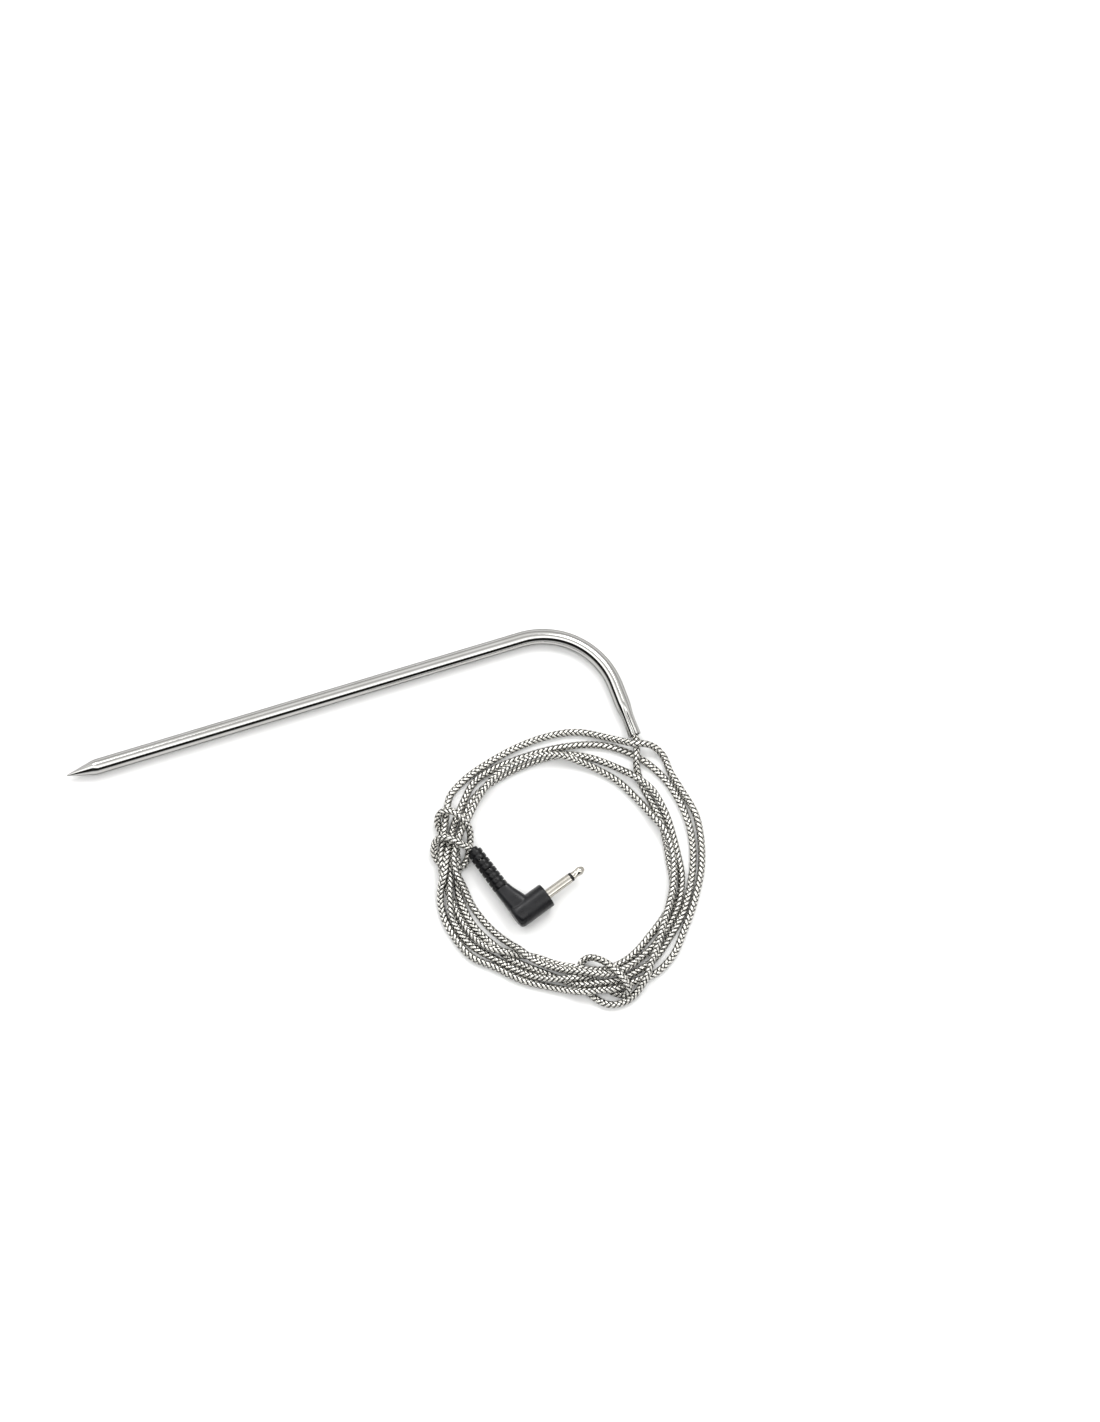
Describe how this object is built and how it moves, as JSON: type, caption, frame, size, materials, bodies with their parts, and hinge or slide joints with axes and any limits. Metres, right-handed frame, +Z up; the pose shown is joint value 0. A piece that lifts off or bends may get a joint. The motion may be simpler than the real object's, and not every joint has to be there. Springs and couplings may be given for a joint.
{
  "type": "meat thermometer probe",
  "caption": "Leave-in meat thermometer probe: bent pointed steel tube with a sensor in its tip, braided steel cable wound in a coil, and a right-angle jack plug.",
  "frame": {"origin": "under the middle of the bent probe (tube and tip, without the cable and plug), on the surface it lies on", "axes": "+X along the straight leg away from the point, +Y away from the bend and the coil, +Z up from the surface"},
  "size_m": [0.1527, 0.0958, 0.0067],
  "materials": {
    "polished_steel": "polished stainless steel",
    "braided_steel": "woven stainless wire",
    "black_moulding": "satin black moulding",
    "black_relief": "satin black flexible moulding",
    "nickel": "bright nickel plating",
    "black_insulator": "black insulating plastic",
    "natural_nylon": "natural nylon",
    "terminal_brass": "punched brass",
    "solder": "solder",
    "tinned_copper": "tinned copper",
    "core_red": "red heat-resistant insulation",
    "core_white": "white heat-resistant insulation",
    "thermistor_glass": "glass-coated bead",
    "potting": "ceramic-filled potting",
    "glass_fibre": "woven glass-fibre sleeve"
  },
  "bodies": {
    "root": {"probe_tube": "polished_steel", "probe_tip": "polished_steel", "thermistor_bead": "thermistor_glass", "thermistor_potting": "potting", "thermistor_lead_a": "tinned_copper", "thermistor_lead_b": "tinned_copper", "lead_sleeve_a": "glass_fibre", "lead_sleeve_b": "glass_fibre", "splice_ferrule_a": "tinned_copper", "splice_ferrule_b": "tinned_copper", "splice_sleeve": "glass_fibre", "core_a": "core_red", "core_b": "core_white", "cable_lead": "braided_steel", "cable_coil": "braided_steel", "cable_tail": "braided_steel", "plug_body": "black_moulding", "strain_relief": "black_relief", "plug_premould": "natural_nylon", "jack_sleeve": "nickel", "jack_insulator": "black_insulator", "jack_tip": "nickel", "jack_washer": "black_insulator", "sleeve_terminal": "terminal_brass", "tip_terminal": "terminal_brass", "solder_joint_a": "solder", "solder_joint_b": "solder", "plug_core_a": "core_red", "plug_core_b": "core_white"}
  },
  "joints": []
}
